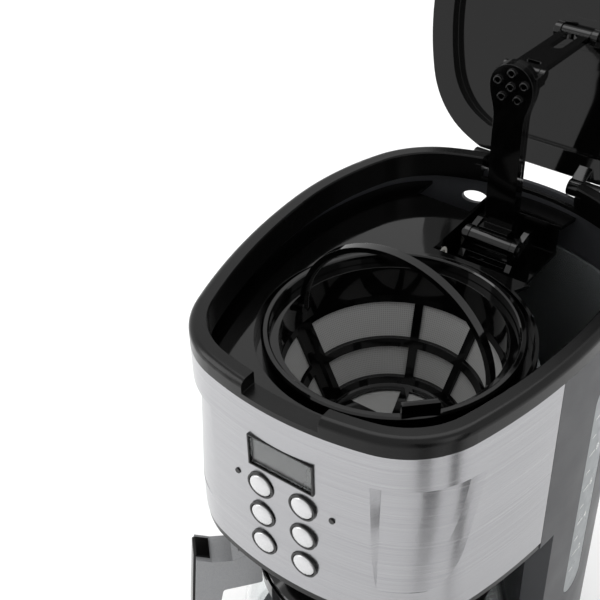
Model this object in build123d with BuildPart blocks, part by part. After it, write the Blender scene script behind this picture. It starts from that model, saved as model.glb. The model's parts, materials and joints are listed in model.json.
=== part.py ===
"""Drip coffee maker with its lid open and its spray arm raised.

Millimetres, X to the machine's right, -Y to its front, +Z up. The origin is the
centre of the footprint on the table.
"""
import os
from math import cos, radians, sin

from build123d import *

os.makedirs("parts", exist_ok=True)

# ---------------------------------------------------------------- driving dimensions
# plan outline of the body, right half, from the middle of the front to the rear
FRONT_Y = -130.2
REAR_Y = 129.0
HALF_WIDTH = 101.2
FRONT_ARC_END = (47.3, -124.3)
CORNER_END = (84.0, -90.0)
WIDEST_Y = 18.0
REAR_SHOULDER = (88.0, 84.0)
REAR_CORNER = (54.7, 117.7)

# heights above the table
FOOT_HEIGHT = 4.0
BASE_TOP_Z = 42.0
HEAD_BOTTOM_Z = 213.5
STEEL_BOTTOM_Z = 218.5
STEEL_TOP_Z = 334.0
RIM_TOP_Z = 345.0
LID_HEIGHT = 19.0

WALL = 2.5
STEEL_SHEET = 1.2
PLAY = 0.3
RUNNING = 0.05
STEEL_REAR_Y = -30.0
COLUMN_FRONT_Y = -17.0

# carafe bay and carafe
CARAFE_Y = -42.0
CARAFE_RADIUS = 83.0
BAY_RADIUS = 88.5
PLATE_RADIUS = 74.0
PLATE_TOP_Z = 45.0
HANDLE_ANGLE = 225.0
HANDLE_REACH = 109.0
HANDLE_WIDTH = 20.0

# brewing basket and filter
BASKET_Y = -30.4
FLANGE_RADIUS = 70.2
MOUTH_RADIUS = 66.0
BASKET_TOP_Z = 324.4
DECK_Z = 320.8
DECK_HOLE_RADIUS = 74.0
LEDGE_Z = 311.8
FILTER_RADIUS = 61.0
FILTER_BOTTOM_Z = 250.0
BAIL_Z = 311.2
TAB_ANGLE = -46.0
TAB_WIDTH = 19.0
NOZZLE_Z = 206.0
VALVE_TRAVEL = 4.0

# lid hinge, spray arm and link, drawn in the plane x = 0
LID_OPEN_ANGLE = 112.0
HINGE_Y = 126.0
HINGE_Z = 338.0
LUG_IN_X = 31.0
LUG_OUT_X = 42.0
LID_REAR_Y = 121.5
ARM_PIVOT_Y = 75.0
ARM_PIVOT_Z = 318.0
ARM_SET_BACK = 6.0
ARM_THICKNESS = 8.0
ARM_REACH = 98.0
ARM_HALF_WIDTH = 9.2
ARM_HEAD_RADIUS = 13.0
ARM_LUG_UP = 102.0
ARM_LUG_BACK = 21.0
LINK_PIN_ALONG = 85.6
LINK_PIN_RISE = 3.2
LINK_HALF_WIDTH = 9.0

# front panel
DISPLAY_WIDTH = 38.0
DISPLAY_HEIGHT = 18.5
DISPLAY_Z = 304.0
BUTTON_X = 12.9
BUTTON_TOP_Z = 282.0
BUTTON_PITCH = 21.3
BUTTON_RADIUS = 6.6
BUTTON_RING_RADIUS = 8.0
BUTTON_TRAVEL = 1.0
LED_X = 29.3
LED_Z = 281.0
LED_RADIUS = 1.6

# tank window on the right-hand side
WINDOW_FRONT_Y = 10.0
WINDOW_REAR_Y = 32.0
WINDOW_BOTTOM_Z = 131.0
WINDOW_TOP_Z = 300.0

# rim and its latch notch
RIM_WIDTH = 10.0
SKIRT_Z = 328.5
NOTCH_HALF_WIDTH = 22.5
NOTCH_DEPTH = 7.4

FAR = 400.0


def save(piece, name):
    """Label a finished piece and write it as its own STEP file."""
    piece.label = name
    export_step(piece, f"parts/{name}.step")


# ---------------------------------------------------------------- shared outlines
with BuildSketch() as body_plan:
    with BuildLine() as half:
        front = TangentArc((0, FRONT_Y), FRONT_ARC_END, tangent=(1, 0))
        corner = TangentArc(front @ 1, CORNER_END, tangent=front % 1)
        side = TangentArc(corner @ 1, (HALF_WIDTH, WIDEST_Y), tangent=corner % 1)
        shoulder = TangentArc(side @ 1, REAR_SHOULDER, tangent=side % 1)
        rear = TangentArc(shoulder @ 1, REAR_CORNER, tangent=shoulder % 1)
        last = TangentArc(rear @ 1, (0, REAR_Y), tangent=rear % 1)
        mirror(about=Plane.YZ)
    make_face()

PLANS = {0: body_plan.sketch}


def plan(inset=0.0):
    """The body's plan outline, moved in by inset."""
    if inset not in PLANS:
        PLANS[inset] = offset(body_plan.sketch, amount=-inset, mode=Mode.PRIVATE)
    return PLANS[inset]


def outline(inset=0.0, mode=Mode.ADD):
    add(plan(inset), mode=mode)


def patch(x0, x1, y0, y1, mode=Mode.ADD):
    """A rectangle from corner to corner, in the sketch being drawn."""
    with Locations(((x0 + x1) / 2, (y0 + y1) / 2)):
        Rectangle(x1 - x0, y1 - y0, mode=mode)


def spot(radius, y, x=0.0, mode=Mode.ADD):
    with Locations((x, y)):
        Circle(radius, mode=mode)


def rectangle(x0, x1, y0, y1):
    """A rectangle from corner to corner, kept out of the sketch being drawn."""
    middle = Pos((x0 + x1) / 2, (y0 + y1) / 2)
    return middle * Rectangle(x1 - x0, y1 - y0, mode=Mode.PRIVATE)


def circle(radius, y):
    return Pos(0, y) * Circle(radius, mode=Mode.PRIVATE)


def lid_plan(inset, mode=Mode.ADD):
    """The lid's outline: the body's, cut straight in front of the hinge."""
    front_of_hinge = rectangle(-FAR, FAR, -FAR, LID_REAR_Y - inset)
    add(plan(PLAY + 0.2 + inset) & front_of_hinge, mode=mode)


def level(z):
    return Plane.XY.offset(z)


def upright(y):
    """A plane across the machine: local x is X, local y is Z, extrusions run to -Y."""
    return Plane(origin=(0, y, 0), x_dir=(1, 0, 0), z_dir=(0, -1, 0))


def profile_at(x):
    """A plane along the machine: local x is Y, local y is Z, extrusions run to +X."""
    return Plane(origin=(x, 0, 0), x_dir=(0, 1, 0), z_dir=(1, 0, 0))


def half_section(y):
    """The plane and axis for a piece turned about an upright axis at y."""
    return upright(y), Axis((0, y, 0), (0, 0, 1))


CARAFE_PLANE, CARAFE_AXIS = half_section(CARAFE_Y)
BASKET_PLANE, BASKET_AXIS = half_section(BASKET_Y)


def opened(piece):
    """Swing a piece drawn on the closed lid to the lid's open place."""
    return piece.rotate(Axis((0, HINGE_Y, HINGE_Z), (-1, 0, 0)), LID_OPEN_ANGLE)


# ---------------------------------------------------------------- base
PLATE_HOLE_RADIUS = PLATE_RADIUS + 4.0
COVER_TOP_Z = FOOT_HEIGHT + 2.5
FOOT_SPOTS = [(x, y) for x in (-66.0, 66.0) for y in (-92.0, 84.0)]
SCREW_SPOTS = [(x * 0.75, y * 0.8) for x, y in FOOT_SPOTS]
SCREW_RADIUS = 1.6

with BuildPart() as base_shell:
    with BuildSketch(level(FOOT_HEIGHT + 1)):
        outline()
        outline(WALL, Mode.SUBTRACT)
    extrude(amount=BASE_TOP_Z - FOOT_HEIGHT - 1)
    with BuildSketch(level(BASE_TOP_Z - WALL)):
        outline(WALL / 2)
        patch(-FAR, FAR, -FAR, COLUMN_FRONT_Y, Mode.INTERSECT)
        spot(BAY_RADIUS - PLAY, CARAFE_Y)
        spot(PLATE_HOLE_RADIUS, CARAFE_Y, mode=Mode.SUBTRACT)
    extrude(amount=WALL)
save(base_shell.part, "base_shell")

with BuildPart() as base_cover:
    with BuildSketch(level(FOOT_HEIGHT)):
        outline(WALL + PLAY)
        with Locations(*SCREW_SPOTS):
            Circle(SCREW_RADIUS + RUNNING, mode=Mode.SUBTRACT)
    extrude(amount=COVER_TOP_Z - FOOT_HEIGHT)
save(base_cover.part, "base_cover")

with BuildPart() as feet:
    with BuildSketch():
        with Locations(*FOOT_SPOTS):
            Circle(9.0)
    extrude(amount=FOOT_HEIGHT)
    chamfer(feet.edges().group_by(Axis.Z)[0], 0.8)
save(feet.part, "feet")

with BuildPart() as base_screws:
    with BuildSketch(level(FOOT_HEIGHT - 1.6)):
        with Locations(*SCREW_SPOTS):
            Circle(3.0)
    extrude(amount=1.6)
    with BuildSketch(level(FOOT_HEIGHT)):
        with Locations(*SCREW_SPOTS):
            Circle(SCREW_RADIUS)
    extrude(amount=8.0)
save(base_screws.part, "base_screws")

with BuildPart() as hot_plate:
    with BuildSketch(CARAFE_PLANE):
        with BuildLine():
            Polyline(
                (0, PLATE_TOP_Z - 3), (PLATE_RADIUS - 3, PLATE_TOP_Z - 3),
                (PLATE_RADIUS - 3, BASE_TOP_Z - 6), (PLATE_RADIUS, BASE_TOP_Z - 6),
                (PLATE_RADIUS, PLATE_TOP_Z - 0.6), (PLATE_RADIUS - 1.4, PLATE_TOP_Z),
                (PLATE_RADIUS - 5, PLATE_TOP_Z), (PLATE_RADIUS - 7, PLATE_TOP_Z - 0.8),
                (0, PLATE_TOP_Z - 0.8), close=True)
        make_face()
    revolve(axis=CARAFE_AXIS)
save(hot_plate.part, "hot_plate")

with BuildPart() as plate_gasket:
    with BuildSketch(CARAFE_PLANE):
        with BuildLine():
            Polyline(
                (PLATE_RADIUS + PLAY, BASE_TOP_Z - 5), (PLATE_HOLE_RADIUS - PLAY, BASE_TOP_Z - 5),
                (PLATE_HOLE_RADIUS - PLAY, BASE_TOP_Z), (PLATE_HOLE_RADIUS + 2.5, BASE_TOP_Z),
                (PLATE_HOLE_RADIUS + 2.5, BASE_TOP_Z + 1.3), (PLATE_RADIUS + PLAY, BASE_TOP_Z + 1.3),
                close=True)
        make_face()
    revolve(axis=CARAFE_AXIS)
save(plate_gasket.part, "plate_gasket")

# the water heater is a horseshoe of tube in an aluminium casting, clamped under the plate
HEATER_RADIUS = 46.0
HEATER_TOP_Z = PLATE_TOP_Z - 3.0
HEATER_DEPTH = 12.0
HEATER_MID_Z = HEATER_TOP_Z - HEATER_DEPTH / 2
HEATER_GAP = 24.0
WATER_BORE = 3.5

with BuildPart() as heater:
    with BuildLine() as heater_route:
        CenterArc((0, CARAFE_Y, HEATER_MID_Z), HEATER_RADIUS, 90 + HEATER_GAP, 360 - 2 * HEATER_GAP)
    with BuildSketch(Plane(origin=heater_route.line @ 0, z_dir=heater_route.line % 0)):
        Rectangle(HEATER_DEPTH, HEATER_DEPTH)
        Circle(WATER_BORE, mode=Mode.SUBTRACT)
    sweep()
save(heater.part, "heater")

with BuildPart() as thermostats:
    with BuildSketch(level(HEATER_TOP_Z - HEATER_DEPTH - 9)):
        with Locations((0, CARAFE_Y)):
            with PolarLocations(HEATER_RADIUS, 3, start_angle=-120, angular_range=60):
                Circle(6.0)
    extrude(amount=9.0)
save(thermostats.part, "thermostats")

# the cord gland sits in the rear wall of the base
GLAND_X, GLAND_Z = -30.0, 24.0
with BuildPart() as cord_gland:
    with BuildSketch(upright(REAR_Y + 2)):
        with Locations((GLAND_X, GLAND_Z)):
            Circle(7.5)
            Circle(3.6, mode=Mode.SUBTRACT)
    extrude(amount=12.0)
    with BuildSketch(upright(REAR_Y + 2)):
        with Locations((GLAND_X, GLAND_Z)):
            Circle(10.0)
            Circle(3.6, mode=Mode.SUBTRACT)
    extrude(amount=3.0)
GLAND_CUT = Pos(GLAND_X, REAR_Y, GLAND_Z) * Rot(90, 0, 0) * Cylinder(10.0 + PLAY, 24.0)
save(cord_gland.part, "cord_gland")
base_shell_cut = base_shell.part - GLAND_CUT
save(base_shell_cut, "base_shell")

# ---------------------------------------------------------------- casing: column and rear of the head
BAY_WALL_RADIUS = BAY_RADIUS + WALL
window_mid_y = (WINDOW_FRONT_Y + WINDOW_REAR_Y) / 2
window_mid_z = (WINDOW_BOTTOM_Z + WINDOW_TOP_Z) / 2
WINDOW_WIDTH = WINDOW_REAR_Y - WINDOW_FRONT_Y
WINDOW_HEIGHT = WINDOW_TOP_Z - WINDOW_BOTTOM_Z
HINGE_GAP_Z = 331.0
OVERFLOW_SPOT = (-37.5, 311.5)

with BuildPart() as casing:
    with BuildSketch(level(BASE_TOP_Z)):
        outline()
        outline(WALL, Mode.SUBTRACT)
        add(circle(BAY_WALL_RADIUS, CARAFE_Y) & plan())
        add(rectangle(-FAR, FAR, COLUMN_FRONT_Y, COLUMN_FRONT_Y + WALL) & plan())
        spot(BAY_RADIUS, CARAFE_Y, mode=Mode.SUBTRACT)
        patch(-FAR, FAR, COLUMN_FRONT_Y, FAR, Mode.INTERSECT)
    extrude(amount=HEAD_BOTTOM_Z - BASE_TOP_Z)
    with BuildSketch(level(HEAD_BOTTOM_Z)):
        outline()
        outline(WALL, Mode.SUBTRACT)
        patch(-FAR, FAR, STEEL_REAR_Y, FAR, Mode.INTERSECT)
    extrude(amount=STEEL_TOP_Z - HEAD_BOTTOM_Z)
    with BuildSketch(profile_at(HALF_WIDTH - 20)):
        with Locations((window_mid_y, window_mid_z)):
            RectangleRounded(WINDOW_WIDTH, WINDOW_HEIGHT, WINDOW_WIDTH / 2 - 1)
    extrude(amount=40, mode=Mode.SUBTRACT)
    with BuildSketch(level(HINGE_GAP_Z)):
        patch(-LUG_IN_X, LUG_IN_X, REAR_Y - 20, REAR_Y + 20)
    extrude(amount=20, mode=Mode.SUBTRACT)
    # the overflow hole, high in the rear wall
    with BuildSketch(upright(REAR_Y + 10)):
        with Locations(OVERFLOW_SPOT):
            Ellipse(8.0, 4.5)
    extrude(amount=30, mode=Mode.SUBTRACT)
save(casing.part, "casing")

with BuildPart() as tank_window:
    with BuildSketch(level(WINDOW_BOTTOM_Z)):
        outline(0.1)
        outline(WALL - 0.1, Mode.SUBTRACT)
        patch(0, FAR, WINDOW_FRONT_Y - 1, WINDOW_REAR_Y + 1, Mode.INTERSECT)
    extrude(amount=WINDOW_HEIGHT)
    with BuildSketch(profile_at(HALF_WIDTH - 20)):
        with Locations((window_mid_y, window_mid_z)):
            RectangleRounded(WINDOW_WIDTH - 0.3, WINDOW_HEIGHT - 0.3, WINDOW_WIDTH / 2 - 1.2)
    extrude(amount=40, mode=Mode.INTERSECT)
save(tank_window.part, "tank_window")

# ---------------------------------------------------------------- water tank and hoses
TANK_INSET = WALL + 2.5
TANK_WALL = 2.0
TANK_BOTTOM_Z = 62.0
TANK_STEP_Z = 217.0
TANK_TOP_Z = 297.0
RISER_X, RISER_Y = -76.0, 58.0
OUTLET_X, OUTLET_Y = 30.0, 80.0
HOSE_OUTER, HOSE_INNER = 5.5, 3.5
WELL_RADIUS = DECK_HOLE_RADIUS + 2.0
TANK_LEFT_X = RISER_X + HOSE_OUTER + 3.0


def tank_low(grow, mode=Mode.ADD):
    """The tank's plan in the column, shrunk by grow: behind the bay, clear of the riser."""
    block = plan(TANK_INSET + grow) - circle(BAY_WALL_RADIUS + 1.5 + grow, CARAFE_Y)
    add(block & rectangle(TANK_LEFT_X + grow, FAR, 5 + grow, FAR), mode=mode)


def tank_high(grow, mode=Mode.ADD):
    """The tank's plan in the head: behind the well and along its right-hand side."""
    block = plan(TANK_INSET + grow) - circle(WELL_RADIUS + 1.5 + grow, BASKET_Y)
    rear_part = rectangle(TANK_LEFT_X + grow, FAR, 50 + grow, FAR)
    right_part = rectangle(40 + grow, FAR, grow - 20, FAR)
    add(block & (rear_part + right_part), mode=mode)


with BuildPart() as water_tank:
    with BuildSketch(level(TANK_BOTTOM_Z)):
        tank_low(0)
    extrude(amount=TANK_STEP_Z - TANK_BOTTOM_Z)
    with BuildSketch(level(TANK_STEP_Z)):
        tank_high(0)
    extrude(amount=TANK_TOP_Z - TANK_STEP_Z)
    with BuildSketch(level(TANK_BOTTOM_Z + TANK_WALL)):
        tank_low(TANK_WALL)
    extrude(amount=TANK_STEP_Z - TANK_BOTTOM_Z + 1, mode=Mode.SUBTRACT)
    with BuildSketch(level(TANK_STEP_Z + TANK_WALL)):
        tank_high(TANK_WALL)
    extrude(amount=TANK_TOP_Z - TANK_STEP_Z, mode=Mode.SUBTRACT)
    with BuildSketch(level(TANK_BOTTOM_Z - 12)):
        spot(HOSE_INNER, OUTLET_Y, OUTLET_X)
    extrude(amount=12)
    with BuildSketch(level(TANK_BOTTOM_Z - 12)):
        spot(HOSE_INNER - 1.2, OUTLET_Y, OUTLET_X)
    extrude(amount=20, mode=Mode.SUBTRACT)
save(water_tank.part, "water_tank")

VALVE_Z = 28.0
HEATER_END_ANGLE = radians(90 - HEATER_GAP)
inlet_end = (HEATER_RADIUS * cos(HEATER_END_ANGLE), CARAFE_Y + HEATER_RADIUS * sin(HEATER_END_ANGLE))
SPIGOT_LENGTH = 10.0

with BuildPart() as check_valve:
    with BuildSketch(level(VALVE_Z)):
        spot(6.5, OUTLET_Y, OUTLET_X)
    extrude(amount=16)
    with BuildSketch(level(VALVE_Z)):
        spot(HOSE_INNER, OUTLET_Y, OUTLET_X)
    extrude(amount=16, mode=Mode.SUBTRACT)
save(check_valve.part, "check_valve")

with BuildPart() as inlet_hose:
    with BuildSketch(level(VALVE_Z + 16)):
        spot(HOSE_OUTER, OUTLET_Y, OUTLET_X)
        spot(HOSE_INNER, OUTLET_Y, OUTLET_X, Mode.SUBTRACT)
    extrude(amount=TANK_BOTTOM_Z - VALVE_Z - 16)
save(inlet_hose.part, "inlet_hose")

RISER_TOP_Z = 309.0
POCKET_LEFT_X = -23.0
with BuildPart() as riser_hose:
    with BuildLine() as riser_route:
        FilletPolyline(
            (RISER_X, RISER_Y, 22), (RISER_X, RISER_Y, RISER_TOP_Z),
            (POCKET_LEFT_X, RISER_Y, RISER_TOP_Z), radius=9)
    with BuildSketch(Plane(origin=riser_route.line @ 0, z_dir=riser_route.line % 0)):
        Circle(HOSE_OUTER)
        Circle(HOSE_INNER, mode=Mode.SUBTRACT)
    sweep()
save(riser_hose.part, "riser_hose")

with BuildPart() as hose_clamps:
    for x, y, z in ((RISER_X, RISER_Y, 30), (OUTLET_X, OUTLET_Y, VALVE_Z + 20)):
        with BuildSketch(level(z)):
            spot(HOSE_OUTER + 1, y, x)
            spot(HOSE_OUTER, y, x, Mode.SUBTRACT)
        extrude(amount=6)
save(hose_clamps.part, "hose_clamps")

# ---------------------------------------------------------------- head: liner, bottom plate, deck and well
BUTTON_SPOTS = [(x, BUTTON_TOP_Z - row * BUTTON_PITCH) for x in (-BUTTON_X, BUTTON_X) for row in range(3)]
BEZEL_WIDTH = DISPLAY_WIDTH + 1.6
BEZEL_HEIGHT = DISPLAY_HEIGHT + 1.6
PANEL_TOP = 60.0


def panel_holes(margin):
    """The front panel's openings, drawn on an upright plane."""
    with Locations(*BUTTON_SPOTS):
        Circle(BUTTON_RING_RADIUS + margin)
    with Locations((-LED_X, LED_Z), (LED_X, LED_Z)):
        Circle(LED_RADIUS + margin)
    with Locations((0, DISPLAY_Z)):
        Rectangle(BEZEL_WIDTH + 2 * margin, BEZEL_HEIGHT + 2 * margin)


SCOOP_TOP_Z = 312.5
SCOOP_BOTTOM_Z = 240.0
SCOOP_DEPTH = 5.6
SCOOP_MIDDLE_SHARE = 0.75


def moved_in(edge, share, depth):
    """The point at share along an arc of the outline, moved in by depth."""
    place = edge @ share
    return place + (edge.arc_center - place).normalized() * depth


def scoop(thickness):
    """The finger scoop's cutting body, grown by thickness: deepest at its top front corner."""
    with BuildPart() as cutter:
        for z, share in ((SCOOP_TOP_Z + thickness, 1.0), (SCOOP_BOTTOM_Z - thickness, 0.0)):
            depth = SCOOP_DEPTH * share + thickness
            with BuildSketch(level(z)):
                with BuildLine():
                    start = moved_in(corner, 0.1, depth)
                    middle = moved_in(corner, 0.6, SCOOP_MIDDLE_SHARE * depth)
                    end = moved_in(side, 0.12, thickness - 0.2)
                    ThreePointArc(start, middle, end)
                    Polyline(end, (end.X + 30, end.Y), (end.X + 30, FRONT_Y - 30),
                             (FRONT_ARC_END[0] - thickness, FRONT_Y - 30),
                             (FRONT_ARC_END[0] - thickness, FRONT_Y + 3), start)
                make_face()
        loft(ruled=True)
    return cutter.part


with BuildPart() as steel_wrap:
    with BuildSketch(level(STEEL_BOTTOM_Z)):
        outline()
        outline(STEEL_SHEET, Mode.SUBTRACT)
        patch(-FAR, FAR, -FAR, STEEL_REAR_Y - PLAY, Mode.INTERSECT)
    extrude(amount=STEEL_TOP_Z - STEEL_BOTTOM_Z)
    with BuildSketch(upright(FRONT_Y + 20)):
        panel_holes(0.1)
    extrude(amount=PANEL_TOP, mode=Mode.SUBTRACT)

dent = scoop(STEEL_SHEET) - scoop(0.0)
inside = extrude(Pos(0, 0, STEEL_BOTTOM_Z) * plan(0.0), amount=STEEL_TOP_Z - STEEL_BOTTOM_Z)
dent = dent & inside
steel = steel_wrap.part - scoop(0.0) + dent
steel = steel - mirror(scoop(0.0), about=Plane.YZ) + mirror(dent, about=Plane.YZ)
save(steel, "steel_wrap")

LINER_GAP = STEEL_SHEET + 0.2
LINER_WALL = 2.0
with BuildPart() as head_liner:
    with BuildSketch(level(HEAD_BOTTOM_Z + 2)):
        outline(LINER_GAP)
        outline(LINER_GAP + LINER_WALL, Mode.SUBTRACT)
        patch(-FAR, FAR, -FAR, STEEL_REAR_Y - PLAY, Mode.INTERSECT)
    extrude(amount=STEEL_TOP_Z - HEAD_BOTTOM_Z - 2)
    with BuildSketch(upright(FRONT_Y + 20)):
        panel_holes(0.1)
    extrude(amount=PANEL_TOP, mode=Mode.SUBTRACT)
liner_relief = scoop(STEEL_SHEET + 0.2)
save(head_liner.part - liner_relief - mirror(liner_relief, about=Plane.YZ), "head_liner")

NOZZLE_HOLE = 16.0
with BuildPart() as head_bottom:
    with BuildSketch(level(HEAD_BOTTOM_Z)):
        outline(0.6)
        patch(-FAR, FAR, -FAR, STEEL_REAR_Y - PLAY, Mode.INTERSECT)
        add(circle(BAY_RADIUS, CARAFE_Y) & plan(WALL + PLAY))
        spot(NOZZLE_HOLE, BASKET_Y, mode=Mode.SUBTRACT)
    extrude(amount=2)
    with BuildSketch(level(HEAD_BOTTOM_Z)):
        outline(0.6)
        outline(LINER_GAP, Mode.SUBTRACT)
        patch(-FAR, FAR, -FAR, STEEL_REAR_Y - PLAY, Mode.INTERSECT)
    extrude(amount=STEEL_BOTTOM_Z - HEAD_BOTTOM_Z)
save(head_bottom.part, "head_bottom")

WELL_BOTTOM_Z = 226.0
BASKET_BORE = 68.5
DECK_THICKNESS = 2.3
DECK_INSET = WALL + 1.2
POCKET_Z = 301.0
POCKET = (POCKET_LEFT_X, 24.0, 47.0, 108.0)

with BuildPart() as brew_deck:
    with BuildSketch(level(DECK_Z - DECK_THICKNESS)):
        outline(DECK_INSET)
        # the opening for filling the tank, on the right and behind the basket
        with BuildLine():
            Polyline((40, 18), (34, 36), (40, 48), (POCKET[1], 64), (POCKET[1] + 4, 108), (34, 140),
                     (150, 140), (150, -62), (52, -62), close=True)
        make_face(mode=Mode.SUBTRACT)
        patch(-62, POCKET_LEFT_X - 2, 92, 140, Mode.SUBTRACT)
        spot(WELL_RADIUS, BASKET_Y)
        spot(DECK_HOLE_RADIUS, BASKET_Y, mode=Mode.SUBTRACT)
        patch(*POCKET, Mode.SUBTRACT)
    extrude(amount=DECK_THICKNESS)
    with BuildSketch(BASKET_PLANE):
        with BuildLine():
            Polyline(
                (DECK_HOLE_RADIUS, DECK_Z), (WELL_RADIUS, DECK_Z), (WELL_RADIUS, LEDGE_Z - 2),
                (BASKET_BORE + 2, LEDGE_Z - 4), (BASKET_BORE + 2, WELL_BOTTOM_Z - 2),
                (NOZZLE_HOLE - 2, WELL_BOTTOM_Z - 2), (NOZZLE_HOLE - 2, WELL_BOTTOM_Z),
                (BASKET_BORE, WELL_BOTTOM_Z), (BASKET_BORE, LEDGE_Z), (DECK_HOLE_RADIUS, LEDGE_Z),
                close=True)
        make_face()
    revolve(axis=BASKET_AXIS)
    # the sunk floor that carries the spray arm's bracket
    with BuildSketch(level(POCKET_Z - 2)):
        patch(POCKET[0] - 2, POCKET[1] + 2, POCKET[2] - 2, POCKET[3] + 2)
    extrude(amount=DECK_Z - POCKET_Z + 2 - 0.01)
    with BuildSketch(level(POCKET_Z)):
        patch(POCKET[0], FAR, POCKET[2], POCKET[3])
    extrude(amount=FAR, mode=Mode.SUBTRACT)
hose_hole = Pos(POCKET_LEFT_X, RISER_Y, RISER_TOP_Z) * Rot(0, 90, 0) * Cylinder(HOSE_OUTER + PLAY, 6)
save(brew_deck.part - hose_hole, "brew_deck")

with BuildPart() as top_rim:
    with BuildSketch(level(STEEL_TOP_Z)):
        outline()
        outline(RIM_WIDTH, Mode.SUBTRACT)
    extrude(amount=RIM_TOP_Z - STEEL_TOP_Z)
    top_face = top_rim.faces().sort_by(Axis.Z)[-1]
    inner_edges = top_face.inner_wires()[0].edges()
    fillet(top_face.outer_wire().edges(), 4.0)
    chamfer(inner_edges, 0.8)
    with BuildSketch(level(SKIRT_Z)):
        outline(RIM_WIDTH - 2.4)
        outline(RIM_WIDTH, Mode.SUBTRACT)
    extrude(amount=STEEL_TOP_Z - SKIRT_Z)
    with BuildSketch(upright(FRONT_Y + RIM_WIDTH + 12)):
        patch(-NOTCH_HALF_WIDTH, NOTCH_HALF_WIDTH, RIM_TOP_Z - NOTCH_DEPTH, RIM_TOP_Z + 5)
    extrude(amount=60, mode=Mode.SUBTRACT)
    # room between the hinge lugs for the lid's own knuckles
    with BuildSketch(level(HINGE_GAP_Z)):
        patch(-LUG_IN_X, LUG_IN_X, REAR_Y - 25, REAR_Y + 20)
    extrude(amount=60, mode=Mode.SUBTRACT)
    for x in (-LUG_OUT_X, LUG_IN_X):
        with BuildSketch(profile_at(x)):
            with Locations((HINGE_Y, HINGE_Z)):
                Circle(5.5)
            patch(HINGE_Y - 12, REAR_Y - 6, STEEL_TOP_Z, HINGE_Z + 2)
            patch(HINGE_Y - 20, HINGE_Y + 20, STEEL_TOP_Z, HINGE_Z + 20, Mode.INTERSECT)
        extrude(amount=LUG_OUT_X - LUG_IN_X)
    with BuildSketch(profile_at(-FAR / 2)):
        with Locations((HINGE_Y, HINGE_Z)):
            Circle(1.75)
    extrude(amount=FAR, mode=Mode.SUBTRACT)
save(top_rim.part, "top_rim")

# ---------------------------------------------------------------- front panel
PANEL_PLATE_Y = FRONT_Y + 6.5
with BuildPart() as button_bezels:
    with BuildSketch(upright(PANEL_PLATE_Y)):
        with Locations(*BUTTON_SPOTS):
            Circle(BUTTON_RING_RADIUS)
    extrude(amount=PANEL_PLATE_Y - FRONT_Y + 0.7)
    with BuildSketch(upright(PANEL_PLATE_Y)):
        with Locations((0, BUTTON_TOP_Z - BUTTON_PITCH)):
            RectangleRounded(2 * BUTTON_X + 22, 2 * BUTTON_PITCH + 20, 3)
    extrude(amount=1.5)
    with BuildSketch(upright(PANEL_PLATE_Y + 5)):
        with Locations(*BUTTON_SPOTS):
            Circle(BUTTON_RADIUS + PLAY)
    extrude(amount=30, mode=Mode.SUBTRACT)
save(button_bezels.part, "button_bezels")

CAP_FACE_Y = FRONT_Y - 0.9
BUTTON_NAMES = {
    (-BUTTON_X, 0): "button_left_top", (-BUTTON_X, 1): "button_left_middle",
    (-BUTTON_X, 2): "button_left_bottom", (BUTTON_X, 0): "button_right_top",
    (BUTTON_X, 1): "button_right_middle", (BUTTON_X, 2): "button_right_bottom"}
STEM_END_Y = PANEL_PLATE_Y + 3.2

for (bx, row), button_name in BUTTON_NAMES.items():
    bz = BUTTON_TOP_Z - row * BUTTON_PITCH
    with BuildPart() as button:
        with BuildSketch(Plane(origin=(bx, 0, bz), x_dir=(1, 0, 0), z_dir=(0, 0, 1))):
            with BuildLine():
                Polyline(
                    (0, CAP_FACE_Y - 1.2), (0, STEM_END_Y), (2.5, STEM_END_Y),
                    (2.5, PANEL_PLATE_Y + 1.3), (BUTTON_RADIUS + 0.9, PANEL_PLATE_Y + 1.3),
                    (BUTTON_RADIUS + 0.9, PANEL_PLATE_Y + PLAY), (BUTTON_RADIUS, PANEL_PLATE_Y + PLAY),
                    (BUTTON_RADIUS, CAP_FACE_Y))
                TangentArc((0, CAP_FACE_Y - 1.2), (BUTTON_RADIUS, CAP_FACE_Y), tangent=(1, 0))
            make_face()
        revolve(axis=Axis((bx, 0, bz), (0, -1, 0)))
    save(button.part, button_name)

BOARD_Y = STEM_END_Y + BUTTON_TRAVEL + 0.4
with BuildPart() as tact_switches:
    with BuildSketch(upright(BOARD_Y + 2.4)):
        with Locations(*BUTTON_SPOTS):
            Rectangle(6.0, 6.0)
    extrude(amount=2.4)
save(tact_switches.part, "tact_switches")

with BuildPart() as control_board:
    with BuildSketch(upright(BOARD_Y + 4.0)):
        patch(-36, 36, 230, 292)
    extrude(amount=1.6)
save(control_board.part, "control_board")

BEZEL_FACE_Y = FRONT_Y - 0.3
BEZEL_BACK_Y = FRONT_Y + 4.6
with BuildPart() as display_bezel:
    with BuildSketch(upright(BEZEL_BACK_Y)):
        with Locations((0, DISPLAY_Z)):
            Rectangle(BEZEL_WIDTH, BEZEL_HEIGHT)
            Rectangle(DISPLAY_WIDTH, DISPLAY_HEIGHT, mode=Mode.SUBTRACT)
    extrude(amount=BEZEL_BACK_Y - BEZEL_FACE_Y)
save(display_bezel.part, "display_bezel")

GLASS_Y = FRONT_Y + 2.2
with BuildPart() as display_glass:
    with BuildSketch(upright(GLASS_Y)):
        with Locations((0, DISPLAY_Z)):
            Rectangle(DISPLAY_WIDTH - 0.2, DISPLAY_HEIGHT - 0.2)
    extrude(amount=1.0)
save(display_glass.part, "display_glass")

with BuildPart() as lcd_panel:
    with BuildSketch(upright(GLASS_Y + 2.2)):
        with Locations((0, DISPLAY_Z)):
            Rectangle(DISPLAY_WIDTH - 0.2, DISPLAY_HEIGHT - 0.2)
    extrude(amount=2.0)
save(lcd_panel.part, "lcd_panel")

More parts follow.
